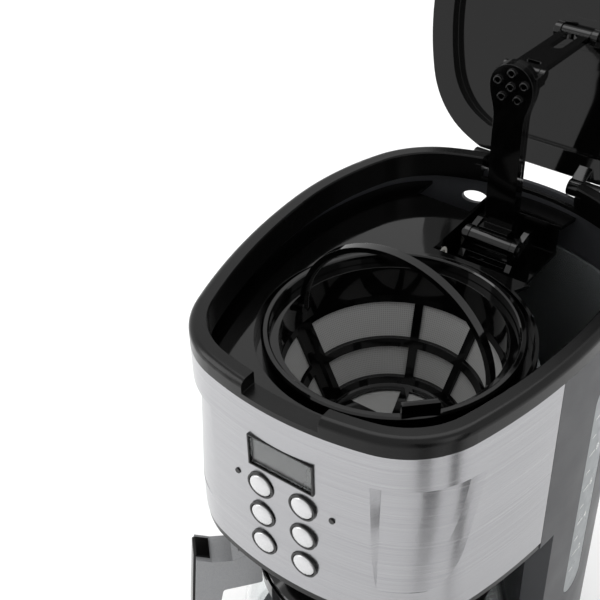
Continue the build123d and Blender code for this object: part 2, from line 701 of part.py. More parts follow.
with BuildPart() as led_lenses:
    with BuildSketch(upright(FRONT_Y + 8.5)):
        with Locations((-LED_X, LED_Z), (LED_X, LED_Z)):
            Circle(LED_RADIUS)
    extrude(amount=7.0)
save(led_lenses.part, "led_lenses")

# ---------------------------------------------------------------- basket, drip valve and filter
FLANGE_SEAT_Z = LEDGE_Z + PLAY
STEP_Z = 316.6
FLOOR_Z = 236.0
NOZZLE_BORE = 5.0
with BuildPart() as basket:
    with BuildSketch(BASKET_PLANE):
        with BuildLine():
            Polyline(
                (FLANGE_RADIUS, FLANGE_SEAT_Z), (FLANGE_RADIUS, BASKET_TOP_Z - 1.2),
                (FLANGE_RADIUS - 1.2, BASKET_TOP_Z), (MOUTH_RADIUS + 0.8, BASKET_TOP_Z),
                (MOUTH_RADIUS, BASKET_TOP_Z - 0.8), (MOUTH_RADIUS, STEP_Z), (MOUTH_RADIUS - 1.8, STEP_Z),
                (MOUTH_RADIUS - 1.8, 300), (60, 248), (57, 243), (9, FLOOR_Z), (NOZZLE_BORE, FLOOR_Z),
                (NOZZLE_BORE, NOZZLE_Z), (NOZZLE_BORE + 3.5, NOZZLE_Z), (NOZZLE_BORE + 4.5, 233.5),
                (58, 240.5), (62, 246.5), (MOUTH_RADIUS + 0.4, 300), (BASKET_BORE - 0.8, FLANGE_SEAT_Z),
                close=True)
        make_face()
    revolve(axis=BASKET_AXIS)
    # the spider inside the nozzle that guides the valve stem
    with BuildSketch(level(222)):
        with Locations((0, BASKET_Y)):
            Circle(NOZZLE_BORE + 1)
            Circle(2.4, mode=Mode.SUBTRACT)
            with PolarLocations(3.7, 3):
                Circle(0.9, mode=Mode.SUBTRACT)
    extrude(amount=1.5)
    # the finger tab on the flange
    tab = Plane(origin=(0, BASKET_Y, 0), z_dir=(0, 0, 1)).rotated((0, 0, TAB_ANGLE))
    with BuildSketch(tab.offset(BASKET_TOP_Z - 1)):
        with Locations((FLANGE_RADIUS - 2.4, 0)):
            Rectangle(3.2, TAB_WIDTH)
    extrude(amount=9.5)
    chamfer(basket.edges().group_by(Axis.Z)[-1], 1.2)
save(basket.part, "basket")

VALVE_FOOT_Z = 203.4
with BuildPart() as drip_valve:
    with BuildSketch(BASKET_PLANE):
        with BuildLine():
            Polyline(
                (0, VALVE_FOOT_Z), (3.6, VALVE_FOOT_Z), (4.2, VALVE_FOOT_Z + 0.6),
                (4.2, VALVE_FOOT_Z + 1.8), (2.2, VALVE_FOOT_Z + 1.8), (2.2, FLOOR_Z + 0.8),
                (8.0, FLOOR_Z + 0.8), (8.0, FLOOR_Z + 2.0), (0, FLOOR_Z + 3.2), close=True)
        make_face()
    revolve(axis=BASKET_AXIS)
save(drip_valve.part, "drip_valve")

with BuildPart() as valve_seal:
    with BuildSketch(level(FLOOR_Z + PLAY)):
        spot(8.0, BASKET_Y)
        spot(2.2, BASKET_Y, mode=Mode.SUBTRACT)
    extrude(amount=0.5)
save(valve_seal.part, "valve_seal")

SPRING_WIRE = 0.35
SPRING_RADIUS = 3.4
spring_bottom = VALVE_FOOT_Z + 1.8 + SPRING_WIRE
SPRING_TOP = 222.0 - SPRING_WIRE
with BuildPart() as valve_spring:
    with BuildLine() as coil:
        Helix(pitch=2.6, height=SPRING_TOP - spring_bottom, radius=SPRING_RADIUS,
              center=(0, BASKET_Y, spring_bottom))
    with BuildSketch(Plane(origin=coil.line @ 0, z_dir=coil.line % 0)):
        Circle(SPRING_WIRE)
    sweep(is_frenet=True)
save(valve_spring.part, "valve_spring")

FRAME_WALL = 1.8
MESH_WALL = 0.4
CONE_TOP_Z = 298.0
CONE_FOOT_RADIUS = 38.0
RIB_WIDTH, WIDE_RIB_WIDTH = 5.0, 13.0
keep_ribs = Part()
for angle, width in ((0, WIDE_RIB_WIDTH), (72, RIB_WIDTH), (108, RIB_WIDTH)):
    keep_ribs += Pos(0, BASKET_Y, 270) * Rot(0, 0, angle) * Box(2 * FAR, width, 120)
for low, high in ((CONE_TOP_Z - 3.5, 330), (270.5, 275), (FILTER_BOTTOM_Z - 1, FILTER_BOTTOM_Z + 4)):
    keep_ribs += Pos(0, BASKET_Y, (low + high) / 2) * (
        Cylinder(FAR, high - low) - Cylinder(CONE_FOOT_RADIUS - 5, high - low))

with BuildPart() as filter_frame:
    with BuildSketch(BASKET_PLANE):
        with BuildLine():
            Polyline(
                (0, FILTER_BOTTOM_Z), (CONE_FOOT_RADIUS, FILTER_BOTTOM_Z), (FILTER_RADIUS, CONE_TOP_Z),
                (FILTER_RADIUS, 318.3), (MOUTH_RADIUS - PLAY, 318.3), (MOUTH_RADIUS - PLAY, STEP_Z + PLAY),
                (FILTER_RADIUS + 2.2, STEP_Z + PLAY), (FILTER_RADIUS + 2.2, CONE_TOP_Z),
                (CONE_FOOT_RADIUS + FRAME_WALL, FILTER_BOTTOM_Z - 1),
                (CONE_FOOT_RADIUS, FILTER_BOTTOM_Z - FRAME_WALL), (0, FILTER_BOTTOM_Z - FRAME_WALL),
                close=True)
        make_face()
    revolve(axis=BASKET_AXIS)
    add(keep_ribs, mode=Mode.INTERSECT)
    with BuildSketch(profile_at(-FAR / 2)):
        with Locations((BASKET_Y, BAIL_Z)):
            Circle(1.65)
    extrude(amount=FAR, mode=Mode.SUBTRACT)
save(filter_frame.part, "filter_frame")

with BuildPart() as filter_mesh:
    foot = FILTER_BOTTOM_Z - FRAME_WALL
    with BuildSketch(BASKET_PLANE):
        with BuildLine():
            Polyline(
                (0, foot), (CONE_FOOT_RADIUS, foot), (CONE_FOOT_RADIUS + FRAME_WALL, FILTER_BOTTOM_Z - 1),
                (FILTER_RADIUS + 2.2, CONE_TOP_Z), (FILTER_RADIUS + 2.2 + MESH_WALL, CONE_TOP_Z),
                (CONE_FOOT_RADIUS + FRAME_WALL + MESH_WALL, FILTER_BOTTOM_Z - 1.2),
                (CONE_FOOT_RADIUS + MESH_WALL, foot - MESH_WALL), (0, foot - MESH_WALL), close=True)
        make_face()
    revolve(axis=BASKET_AXIS)
save(filter_mesh.part, "filter_mesh")

BAIL_OUTER, BAIL_BAR, BAIL_WIDTH = 60.5, 3.0, 5.0
with BuildPart() as filter_bail:
    with BuildSketch(upright(BASKET_Y + BAIL_WIDTH / 2)):
        with Locations((0, BAIL_Z)):
            Circle(BAIL_OUTER)
            Circle(BAIL_OUTER - BAIL_BAR, mode=Mode.SUBTRACT)
        patch(-FAR, FAR, BAIL_Z, FAR * 2, Mode.INTERSECT)
    extrude(amount=BAIL_WIDTH)
    for x0, x1, radius in (
            (-BAIL_OUTER, BAIL_BAR - BAIL_OUTER, 4.2), (BAIL_OUTER - BAIL_BAR, BAIL_OUTER, 4.2),
            (-BAIL_OUTER - 2.7, 0.1 - BAIL_OUTER, 1.6), (BAIL_OUTER - 0.1, BAIL_OUTER + 2.7, 1.6)):
        with BuildSketch(profile_at(x0)):
            with Locations((BASKET_Y, BAIL_Z)):
                Circle(radius)
        extrude(amount=x1 - x0)
save(filter_bail.part, "filter_bail")

# ---------------------------------------------------------------- spray arm and its bracket
EAR_IN_X, EAR_OUT_X = 13.6, 17.2
PIN_RADIUS = 1.6
with BuildPart() as arm_bracket:
    with BuildSketch(level(POCKET_Z)):
        patch(-EAR_OUT_X, EAR_OUT_X, 66, 96)
    extrude(amount=2)
    with BuildSketch(upright(71.0)):
        patch(-EAR_OUT_X, EAR_OUT_X, POCKET_Z, ARM_PIVOT_Z - 7)
        patch(-EAR_IN_X + 2, EAR_IN_X - 2, ARM_PIVOT_Z - 11, ARM_PIVOT_Z - 9.5, Mode.SUBTRACT)
    extrude(amount=2)
    for x in (-EAR_OUT_X, EAR_IN_X):
        with BuildSketch(profile_at(x)):
            with BuildLine():
                Polyline((66, POCKET_Z), (96, POCKET_Z), (93, 322), (88, 323), (80, 321),
                         (69, ARM_PIVOT_Z), (69, ARM_PIVOT_Z - 7), (66, ARM_PIVOT_Z - 11), close=True)
            make_face()
            with Locations((ARM_PIVOT_Y, ARM_PIVOT_Z)):
                Circle(6.0)
        extrude(amount=EAR_OUT_X - EAR_IN_X)
    with BuildSketch(profile_at(-FAR / 2)):
        with Locations((ARM_PIVOT_Y, ARM_PIVOT_Z)):
            Circle(PIN_RADIUS)
    extrude(amount=FAR, mode=Mode.SUBTRACT)
save(arm_bracket.part, "arm_bracket")

with BuildPart() as arm_pin:
    with BuildSketch(profile_at(-EAR_OUT_X - 2)):
        with Locations((ARM_PIVOT_Y, ARM_PIVOT_Z)):
            Circle(PIN_RADIUS)
    extrude(amount=2 * EAR_OUT_X + 2)
    for x, length in ((-EAR_OUT_X - 2, 2), (EAR_OUT_X, 1.2)):
        with BuildSketch(profile_at(x)):
            with Locations((ARM_PIVOT_Y, ARM_PIVOT_Z)):
                Circle(3.0)
        extrude(amount=length)
save(arm_pin.part, "arm_pin")

ARM_FACE_Y = ARM_PIVOT_Y + ARM_SET_BACK
ARM_SPLIT_Y = ARM_FACE_Y + 4.5
ARM_BACK_Y = ARM_FACE_Y + ARM_THICKNESS
HEAD_Z = ARM_PIVOT_Z + ARM_REACH
SHAFT_FOOT_Z = ARM_PIVOT_Z + 1.0
NOZZLE_RING = 8.2
JET_SPOTS = [(0, HEAD_Z)] + [
    (NOZZLE_RING * cos(radians(a)), HEAD_Z + NOZZLE_RING * sin(radians(a))) for a in range(90, 450, 72)]


def arm_face(inset):
    """The arm's face: a straight shaft that widens to a round head."""
    w = ARM_HALF_WIDTH - inset
    r = ARM_HEAD_RADIUS - inset
    foot_z = SHAFT_FOOT_Z + inset
    neck_z = HEAD_Z - ARM_HEAD_RADIUS - 8
    with BuildSketch() as face:
        with BuildLine():
            Polyline((-w, neck_z), (-w, foot_z), (w, foot_z), (w, neck_z))
            Spline((w, neck_z), (r, HEAD_Z), tangents=((0, 1), (0, 1)))
            ThreePointArc((r, HEAD_Z), (0, HEAD_Z + r), (-r, HEAD_Z))
            Spline((-r, HEAD_Z), (-w, neck_z), tangents=((0, -1), (0, -1)))
        make_face()
    return face.sketch


with BuildPart() as spray_arm:
    with BuildSketch(upright(ARM_SPLIT_Y)):
        add(arm_face(0))
    extrude(amount=ARM_SPLIT_Y - ARM_FACE_Y)
    with BuildSketch(upright(ARM_SPLIT_Y)):
        add(arm_face(1.6))
    extrude(amount=2.6, mode=Mode.SUBTRACT)
    with BuildSketch(profile_at(-EAR_IN_X + PLAY)):
        with Locations((ARM_PIVOT_Y, ARM_PIVOT_Z)):
            Circle(5.5)
    extrude(amount=2 * (EAR_IN_X - PLAY))
    with BuildSketch(profile_at(-ARM_HALF_WIDTH)):
        patch(ARM_PIVOT_Y, ARM_SPLIT_Y, ARM_PIVOT_Z, ARM_PIVOT_Z + 8)
    extrude(amount=2 * ARM_HALF_WIDTH)
    with BuildSketch(upright(ARM_FACE_Y)):
        with Locations(*JET_SPOTS):
            Circle(2.6)
    extrude(amount=1.2)
    with BuildSketch(upright(ARM_SPLIT_Y + 5)):
        with Locations(*JET_SPOTS):
            Circle(1.4)
    extrude(amount=20, mode=Mode.SUBTRACT)
    with BuildSketch(profile_at(-FAR / 2)):
        with Locations((ARM_PIVOT_Y, ARM_PIVOT_Z)):
            Circle(PIN_RADIUS + RUNNING)
    extrude(amount=FAR, mode=Mode.SUBTRACT)
save(spray_arm.part, "spray_arm")

LUG_Y = ARM_PIVOT_Y + ARM_LUG_BACK
LUG_Z = ARM_PIVOT_Z + ARM_LUG_UP
LUG_GAP_X = LINK_HALF_WIDTH + 0.5
with BuildPart() as arm_cover:
    with BuildSketch(upright(ARM_BACK_Y)):
        add(arm_face(0))
    extrude(amount=ARM_BACK_Y - ARM_SPLIT_Y)
    for x in (-LUG_GAP_X - 3, LUG_GAP_X):
        with BuildSketch(profile_at(x)):
            with Locations((LUG_Y, LUG_Z)):
                Circle(3.2)
            patch(ARM_SPLIT_Y, LUG_Y, LUG_Z - 5, LUG_Z + 2)
        extrude(amount=3)
save(arm_cover.part, "arm_cover")

# ---------------------------------------------------------------- lid, its bracket and the link
LID_BOTTOM_Z = RIM_TOP_Z + 0.4
LID_TOP_Z = RIM_TOP_Z + LID_HEIGHT
LIP_THICKNESS = 1.8
LIP_WIDTH = 14.0
CEILING_Z = 353.4
KNUCKLE_IN_X = 22.0
KNUCKLE_RADIUS = 5.0
link_pin_y = HINGE_Y - LINK_PIN_ALONG
link_pin_z = HINGE_Z + LINK_PIN_RISE

with BuildPart() as lid_inner:
    with BuildSketch(level(LID_BOTTOM_Z)):
        lid_plan(0)
        lid_plan(LIP_WIDTH, Mode.SUBTRACT)
    extrude(amount=LIP_THICKNESS)
    with BuildSketch(level(LID_BOTTOM_Z)):
        lid_plan(LIP_WIDTH - 1.6)
        lid_plan(LIP_WIDTH, Mode.SUBTRACT)
    extrude(amount=CEILING_Z - LID_BOTTOM_Z)
    with BuildSketch(level(CEILING_Z)):
        lid_plan(LIP_WIDTH - 1.6)
    extrude(amount=1.6)
    for x in (-LUG_IN_X + PLAY, KNUCKLE_IN_X):
        with BuildSketch(profile_at(x)):
            with Locations((HINGE_Y, HINGE_Z)):
                Circle(KNUCKLE_RADIUS)
            with BuildLine():
                Polyline((HINGE_Y - KNUCKLE_RADIUS, HINGE_Z), (HINGE_Y + 3, HINGE_Z + 4),
                         (LID_REAR_Y + 2, LID_BOTTOM_Z + LIP_THICKNESS),
                         (LID_REAR_Y - 8, LID_BOTTOM_Z + LIP_THICKNESS),
                         (LID_REAR_Y - 8, LID_BOTTOM_Z), close=True)
            make_face()
        extrude(amount=LUG_IN_X - PLAY - KNUCKLE_IN_X)
    with BuildSketch(profile_at(-FAR / 2)):
        with Locations((HINGE_Y, HINGE_Z)):
            Circle(1.6 + RUNNING)
    extrude(amount=FAR, mode=Mode.SUBTRACT)
save(opened(lid_inner.part), "lid_inner")

LID_WALL = 2.4
CROWN = 7.0
with BuildPart() as lid_outer:
    with BuildSketch(level(LID_BOTTOM_Z + LIP_THICKNESS)):
        lid_plan(0)
    extrude(amount=LID_TOP_Z - LID_BOTTOM_Z - LIP_THICKNESS)
    chamfer(lid_outer.edges().group_by(Axis.Z)[-1], CROWN / 2, CROWN * 0.8)
    with BuildSketch(level(LID_BOTTOM_Z + LIP_THICKNESS)):
        lid_plan(LID_WALL)
    extrude(amount=LID_TOP_Z - LID_BOTTOM_Z - LIP_THICKNESS - CROWN, mode=Mode.SUBTRACT)
save(opened(lid_outer.part), "lid_outer")

with BuildPart() as hinge_pins:
    for x in (-LUG_OUT_X, KNUCKLE_IN_X - 1):
        with BuildSketch(profile_at(x)):
            with Locations((HINGE_Y, HINGE_Z)):
                Circle(1.6)
        extrude(amount=LUG_OUT_X - KNUCKLE_IN_X + 1)
save(hinge_pins.part, "hinge_pins")

CHEEK_THICKNESS = 4.0
with BuildPart() as lid_bracket:
    for x in (-LUG_GAP_X - CHEEK_THICKNESS, LUG_GAP_X):
        with BuildSketch(profile_at(x)):
            with Locations((link_pin_y, link_pin_z)):
                Circle(4.5)
            patch(link_pin_y - 5, link_pin_y + 5, link_pin_z, CEILING_Z)
        extrude(amount=CHEEK_THICKNESS)
    with BuildSketch(level(CEILING_Z - 1.6)):
        patch(-LUG_GAP_X - CHEEK_THICKNESS, LUG_GAP_X + CHEEK_THICKNESS, link_pin_y - 9, link_pin_y + 9)
    extrude(amount=1.6)
    with BuildSketch(profile_at(-FAR / 2)):
        with Locations((link_pin_y, link_pin_z)):
            Circle(PIN_RADIUS)
    extrude(amount=FAR, mode=Mode.SUBTRACT)
save(opened(lid_bracket.part), "lid_bracket")

with BuildPart() as link_pin:
    with BuildSketch(profile_at(-LUG_GAP_X - CHEEK_THICKNESS - 1)):
        with Locations((link_pin_y, link_pin_z)):
            Circle(PIN_RADIUS)
    extrude(amount=2 * (LUG_GAP_X + CHEEK_THICKNESS + 1))
save(opened(link_pin.part), "link_pin")

# the link runs straight from the lid's pin to the lugs behind the spray head
open_angle = radians(LID_OPEN_ANGLE)
pin_y = HINGE_Y - LINK_PIN_ALONG * cos(open_angle) + LINK_PIN_RISE * sin(open_angle)
pin_z = HINGE_Z + LINK_PIN_ALONG * sin(open_angle) + LINK_PIN_RISE * cos(open_angle)
link_plane = Plane(origin=(0, LUG_Y, LUG_Z), x_dir=(1, 0, 0),
                   z_dir=Vector(0, pin_z - LUG_Z, -(pin_y - LUG_Y)))
link_length = ((pin_y - LUG_Y) ** 2 + (pin_z - LUG_Z) ** 2) ** 0.5
LINK_THICKNESS = 3.6
link_up = 1 if link_plane.y_dir.Y > 0 else -1

with BuildPart() as link_plate:
    with BuildSketch(link_plane.offset(-LINK_THICKNESS / 2)):
        with Locations((0, link_up * link_length / 2)):
            Rectangle(2 * LINK_HALF_WIDTH, link_length)
        with Locations((0, link_up * link_length * 0.72)):
            RectangleRounded(8.0, link_length * 0.4, 3.9, mode=Mode.SUBTRACT)
        with Locations((0, link_up * 9)):
            RectangleRounded(9.0, 4.0, 1.5, mode=Mode.SUBTRACT)
    extrude(amount=LINK_THICKNESS)
    for y, z, radius in ((LUG_Y, LUG_Z, 3.0), (pin_y, pin_z, 4.0)):
        with BuildSketch(profile_at(-LINK_HALF_WIDTH)):
            with Locations((y, z)):
                Circle(radius)
        extrude(amount=2 * LINK_HALF_WIDTH)
    with BuildSketch(profile_at(-FAR / 2)):
        with Locations((pin_y, pin_z)):
            Circle(PIN_RADIUS + RUNNING)
    extrude(amount=FAR, mode=Mode.SUBTRACT)
save(link_plate.part, "link_plate")

# ---------------------------------------------------------------- carafe
GLASS_WALL = 2.2
GLASS_FOOT_Z = PLATE_TOP_Z + 0.3
NECK_RADIUS = 66.0
COLLAR_Z, COLLAR_TOP_Z = 152.0, 164.0
COLLAR_RADIUS = 71.0
with BuildPart() as carafe_glass:
    with BuildSketch(CARAFE_PLANE):
        with BuildLine():
            Line((0, GLASS_FOOT_Z), (56, GLASS_FOOT_Z))
            ThreePointArc((56, GLASS_FOOT_Z), (77.5, 68), (CARAFE_RADIUS, 101))
            ThreePointArc((CARAFE_RADIUS, 101), (79.5, 129), (NECK_RADIUS, 151))
            Line((NECK_RADIUS, 151), (NECK_RADIUS, COLLAR_TOP_Z))
            offset(amount=GLASS_WALL, side=Side.LEFT)
        make_face()
    revolve(axis=CARAFE_AXIS)
save(carafe_glass.part, "carafe_glass")

handle_plane = Plane(origin=(0, CARAFE_Y, 0), x_dir=(cos(radians(HANDLE_ANGLE)), sin(radians(HANDLE_ANGLE)), 0),
                     z_dir=(sin(radians(HANDLE_ANGLE)), -cos(radians(HANDLE_ANGLE)), 0))
HINGE_SLOT = 4.5
LID_PIN_RADIAL, LID_PIN_Z = 75.5, 170.0
HANDLE_FOOT_Z = 64.0
HANDLE_TOP_Z = 180.0


def handle_profile():
    """The handle's side view: a block on the collar, a grip and a free lower end."""
    with BuildSketch() as side_view:
        with BuildLine():
            Polyline(
                (COLLAR_RADIUS + 0.2, COLLAR_Z + 1), (COLLAR_RADIUS + 0.2, COLLAR_TOP_Z + 6),
                (COLLAR_RADIUS + 6, HANDLE_TOP_Z), (HANDLE_REACH - 21, HANDLE_TOP_Z - 4.5),
                (HANDLE_REACH - 9, HANDLE_TOP_Z - 3.5), (HANDLE_REACH, HANDLE_TOP_Z),
                (HANDLE_REACH + 5, 126), (HANDLE_REACH - 2, 86), (HANDLE_REACH - 14, HANDLE_FOOT_Z),
                (HANDLE_REACH - 20, HANDLE_FOOT_Z + 6), (HANDLE_REACH - 14, 90),
                (HANDLE_REACH - 9, 126), (HANDLE_REACH - 14, COLLAR_Z - 2), close=True)
        make_face()
        fillet(side_view.vertices().filter_by(lambda v: v.Y < HANDLE_TOP_Z - 5), 2.4)
    return side_view.sketch


HANDLE_SIDE = handle_profile()
SCREW_Z = 158.0
screw_shank = handle_plane * Pos(LID_PIN_RADIAL - 1, SCREW_Z) * Rot(0, 90, 0) * Cylinder(1.5, 14)
screw_head = handle_plane * Pos(LID_PIN_RADIAL + 7.2, SCREW_Z) * Rot(0, 90, 0) * Cylinder(3.2, 2.4)
handle_screw_part = screw_shank + screw_head
save(handle_screw_part, "handle_screw")

lid_pin_part = handle_plane * Pos(LID_PIN_RADIAL, LID_PIN_Z) * Cylinder(1.5, 17)
save(lid_pin_part, "carafe_lid_pin")

with BuildPart() as carafe_handle:
    with BuildSketch(handle_plane.offset(-HANDLE_WIDTH / 2)):
        add(HANDLE_SIDE)
    extrude(amount=HANDLE_WIDTH)
    with BuildSketch(handle_plane.offset(-HINGE_SLOT)):
        patch(COLLAR_RADIUS - 4, LID_PIN_RADIAL + 8.5, COLLAR_TOP_Z - 0.5, HANDLE_TOP_Z + 10)
    extrude(amount=2 * HINGE_SLOT, mode=Mode.SUBTRACT)
    add(handle_screw_part, mode=Mode.SUBTRACT)
    add(lid_pin_part, mode=Mode.SUBTRACT)
save(carafe_handle.part, "carafe_handle")

with BuildPart() as handle_strip:
    with BuildSketch(handle_plane.offset(-HANDLE_WIDTH / 2 + 3)):
        add(offset(HANDLE_SIDE, amount=1.5, mode=Mode.PRIVATE))
        add(HANDLE_SIDE, mode=Mode.SUBTRACT)
        patch(HANDLE_REACH - 8, FAR, HANDLE_FOOT_Z + 14, FAR, Mode.INTERSECT)
    extrude(amount=HANDLE_WIDTH - 6)
save(handle_strip.part, "handle_strip")

with BuildPart() as carafe_band:
    with BuildSketch(CARAFE_PLANE):
        with BuildLine():
            Polyline((NECK_RADIUS + 0.2, COLLAR_Z), (COLLAR_RADIUS, COLLAR_Z + 1),
                     (COLLAR_RADIUS, COLLAR_TOP_Z), (NECK_RADIUS + 0.2, COLLAR_TOP_Z), close=True)
        make_face()
    revolve(axis=CARAFE_AXIS)
    add(handle_screw_part, mode=Mode.SUBTRACT)
save(carafe_band.part, "carafe_band")

with BuildPart() as carafe_lid:
    with BuildSketch(CARAFE_PLANE):
        with BuildLine():
            Polyline(
                (6, 168), (28, 170), (42, 174), (62, 172.5), (COLLAR_RADIUS - 1, 168.5),
                (COLLAR_RADIUS - 1, COLLAR_TOP_Z + PLAY), (62.5, COLLAR_TOP_Z + PLAY), (62.5, 158),
                (60.5, 158), (60.5, 170), (42, 171.8), (28, 167.8), (8, 165.8), (8, 160), (6, 160),
                close=True)
        make_face()
    revolve(axis=CARAFE_AXIS)
    with BuildSketch(handle_plane.offset(-HINGE_SLOT + 0.4)):
        with Locations((LID_PIN_RADIAL, LID_PIN_Z)):
            Circle(3.6)
        patch(COLLAR_RADIUS - 3, LID_PIN_RADIAL, COLLAR_TOP_Z + 1, COLLAR_TOP_Z + 5)
        with BuildLine():
            Polyline((LID_PIN_RADIAL - 3.2, LID_PIN_Z), (LID_PIN_RADIAL + 3.2, LID_PIN_Z),
                     (LID_PIN_RADIAL + 4.5, HANDLE_TOP_Z + 1), (LID_PIN_RADIAL - 1.5, HANDLE_TOP_Z + 1),
                     close=True)
        make_face()
    extrude(amount=2 * HINGE_SLOT - 0.8)
    with BuildSketch(handle_plane.offset(-HINGE_SLOT)):
        with Locations((LID_PIN_RADIAL, LID_PIN_Z)):
            Circle(1.5 + RUNNING)
    extrude(amount=2 * HINGE_SLOT, mode=Mode.SUBTRACT)
save(carafe_lid.part, "carafe_lid")
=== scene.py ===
# %% [markdown]
# # Drip coffee maker
# The imported CAD model comes in first as a fixed frame: every node sits at the origin with its
# place in its mesh, in metres.

# %% Load the frame
import json
from math import cos, pi, radians, sin

import bmesh
import bpy
from mathutils import Matrix, Vector


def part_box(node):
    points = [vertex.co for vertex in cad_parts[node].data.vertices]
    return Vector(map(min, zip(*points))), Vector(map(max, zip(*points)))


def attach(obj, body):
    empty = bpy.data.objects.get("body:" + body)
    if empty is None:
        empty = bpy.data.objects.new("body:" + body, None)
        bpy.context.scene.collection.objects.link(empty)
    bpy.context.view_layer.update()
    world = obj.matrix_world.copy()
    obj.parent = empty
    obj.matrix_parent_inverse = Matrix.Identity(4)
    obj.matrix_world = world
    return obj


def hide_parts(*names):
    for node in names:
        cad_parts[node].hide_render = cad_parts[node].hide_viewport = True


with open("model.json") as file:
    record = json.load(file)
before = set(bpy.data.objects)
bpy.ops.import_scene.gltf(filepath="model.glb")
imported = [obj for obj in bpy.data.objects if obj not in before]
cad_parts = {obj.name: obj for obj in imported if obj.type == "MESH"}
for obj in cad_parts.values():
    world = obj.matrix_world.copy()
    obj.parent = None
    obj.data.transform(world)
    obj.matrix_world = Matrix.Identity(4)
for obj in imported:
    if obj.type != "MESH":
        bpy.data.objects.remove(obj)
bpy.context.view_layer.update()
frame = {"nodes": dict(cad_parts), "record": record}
NODES = frame["nodes"]

# %% [markdown]
# ## Small helpers
# Colours are picked as sRGB hex values, the way a colour picker shows them, and the shader
# wants linear light, so one function turns one into the other. A second function adds one
# shader node with its settings and links, and a third makes a plain matt material for ink,
# paper and cloth. EDGE is the radius by which shading softens a moulded or folded edge, and
# FILTER_AXIS_Y is where the basket and the filter stand, in metres.

# %% Colour and node helpers
MM = 0.001
EDGE = 0.35 * MM
FILTER_AXIS_Y = -0.0304


def linear(code):
    """sRGB hex, such as "#8899aa", to linear RGBA."""
    channels = [int(code[i:i + 2], 16) / 255 for i in (1, 3, 5)]
    return [c / 12.92 if c <= 0.04045 else ((c + 0.055) / 1.055) ** 2.4 for c in channels] + [1.0]


def put(tree, kind, links=None, **settings):
    """Add one shader node. settings go on its sockets or properties, links = {input: output}."""
    node = tree.nodes.new(kind)
    for key, value in settings.items():
        name = key.replace("_", " ")
        socket = next((s for s in node.inputs if s.name.lower() == name.lower()), None)
        if socket is not None:
            socket.default_value = value
        else:
            setattr(node, key, value)
    for key, output in (links or {}).items():
        tree.links.new(output, node.inputs[key])
    return node


def start(name):
    """A new material with an empty tree, its Object coordinates and its output."""
    material = bpy.data.materials.new(name)
    material.use_nodes = True
    tree = material.node_tree
    tree.nodes.clear()
    place = put(tree, "ShaderNodeTexCoord").outputs["Object"]
    return material, tree, place


def finish(tree, shader):
    put(tree, "ShaderNodeOutputMaterial", {"Surface": shader.outputs[0]})


def matt(name, code, roughness, cycles, strength, depth_mm):
    """A plain matt surface with a fine bump. cycles is the bump's noise scale per metre."""
    material, tree, place = start(name)
    grain = put(tree, "ShaderNodeTexNoise", {"Vector": place}, Scale=cycles)
    bump = put(tree, "ShaderNodeBump", {"Height": grain.outputs[0]}, Strength=strength,
               Distance=depth_mm * MM)
    finish(tree, put(tree, "ShaderNodeBsdfPrincipled", {"Normal": bump.outputs[0]},
                     Base_Color=linear(code), Roughness=roughness))
    return material


# %% [markdown]
# ## Brushed stainless steel
# The head's wrap is 430 stainless sheet, brushed along its length before it is bent, so the
# scratches run level around the body. They are a noise pattern squeezed flat: thousands of
# cycles per metre up and down, only a few along. The same pattern moves the roughness and a
# very low bump, and anisotropy draws highlights out across the scratches.

# %% Steel
def brushed_steel():
    material, tree, place = start("stainless sheet, brushed level")
    fine = put(tree, "ShaderNodeMapping", {"Vector": place}, Scale=(9, 9, 4200))
    coarse = put(tree, "ShaderNodeMapping", {"Vector": place}, Scale=(1.5, 1.5, 3000))
    scratches = put(tree, "ShaderNodeTexNoise", {"Vector": fine.outputs[0]}, Scale=1.0, Detail=3.0)
    streaks = put(tree, "ShaderNodeTexNoise", {"Vector": coarse.outputs[0]}, Scale=1.0, Detail=2.0)
    both = put(tree, "ShaderNodeMix", {"A": scratches.outputs[0], "B": streaks.outputs[0]}, Factor=0.25)
    colour = put(tree, "ShaderNodeValToRGB", {"Fac": both.outputs[0]})
    colour.color_ramp.elements[0].position = 0.3
    colour.color_ramp.elements[0].color = linear("#97979a")
    colour.color_ramp.elements[1].position = 0.7
    colour.color_ramp.elements[1].color = linear("#b4b4b6")
    rough = put(tree, "ShaderNodeMapRange", {"Value": both.outputs[0]},
                From_Min=0.3, From_Max=0.7, To_Min=0.19, To_Max=0.29)
    soft = put(tree, "ShaderNodeBevel", samples=4, Radius=EDGE)
    bump = put(tree, "ShaderNodeBump", {"Height": both.outputs[0], "Normal": soft.outputs[0]},
               Strength=0.08, Distance=0.04 * MM)
    shader = put(tree, "ShaderNodeBsdfPrincipled",
                 {"Base Color": colour.outputs[0], "Roughness": rough.outputs[0],
                  "Normal": bump.outputs[0]},
                 Metallic=1.0, Anisotropic=0.55, Anisotropic_Rotation=0.25)
    finish(tree, shader)
    return material


# %% [markdown]
# ## Moulded plastics
# Most of the machine is ABS. What changes from one piece to the next is the tool it was
# moulded in: spark-eroded steel leaves an even grain of about half a millimetre, a blasted
# tool gives a silky satin, and a polished tool gives piano black. One recipe makes all of
# them from a colour, a roughness and the size and depth of the grain. Cloudy noise, larger
# than the grain, varies the roughness the way handling and flow lines do.

